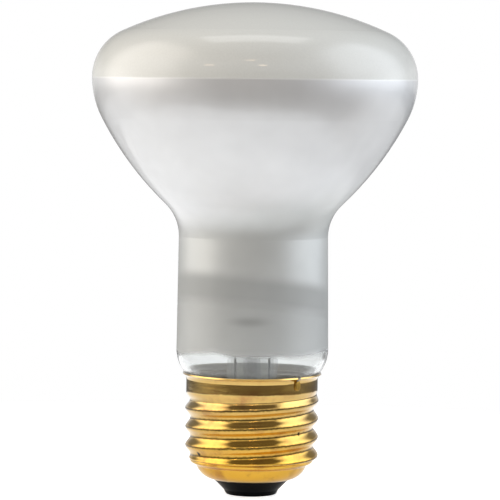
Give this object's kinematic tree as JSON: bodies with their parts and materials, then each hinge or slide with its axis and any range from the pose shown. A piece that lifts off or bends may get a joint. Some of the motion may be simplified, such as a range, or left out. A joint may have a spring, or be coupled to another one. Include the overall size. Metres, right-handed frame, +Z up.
{
  "type": "reflector light bulb",
  "caption": "Reflector light bulb: frosted dome, mirrored cone and neck with a clear band, and a rolled brass medium screw base; seated in a lampholder to throw a beam of light.",
  "frame": {"origin": "lowest point of the centre contact, on the bulb's axis", "axes": "+Z up along the bulb's axis from the contact to the dome; -Y is the side that the picture shows; the solder joint on the collar is towards +X and -Y"},
  "size_m": [0.0636, 0.0634, 0.0966],
  "materials": {
    "rolled_brass": "rolled sheet, bright with light tarnish",
    "black_glass": "moulded opaque black glass, glossy",
    "solder": "soft solder, satin",
    "brazed_joint": "brazing brass, dull with flux",
    "lead_wire": "drawn wire, lightly oxidised",
    "coated_glass": "glossy outside; inside frosted on the dome, silvered on the cone and neck, clear in a band at the foot",
    "cement": "baked basing cement, matt",
    "clear_glass": "clear drawn glass",
    "filament_wire": "drawn tungsten, dark grey"
  },
  "bodies": {
    "root": {"screw_shell": "rolled_brass", "base_insulator": "black_glass", "centre_eyelet": "rolled_brass", "centre_solder": "solder", "collar_solder": "brazed_joint", "centre_lead": "lead_wire", "side_lead": "lead_wire", "glass_envelope": "coated_glass", "basing_cement": "cement", "glass_stem": "clear_glass", "exhaust_tube": "clear_glass", "support_rod": "clear_glass", "support_wire": "filament_wire", "filament": "filament_wire"}
  },
  "joints": []
}
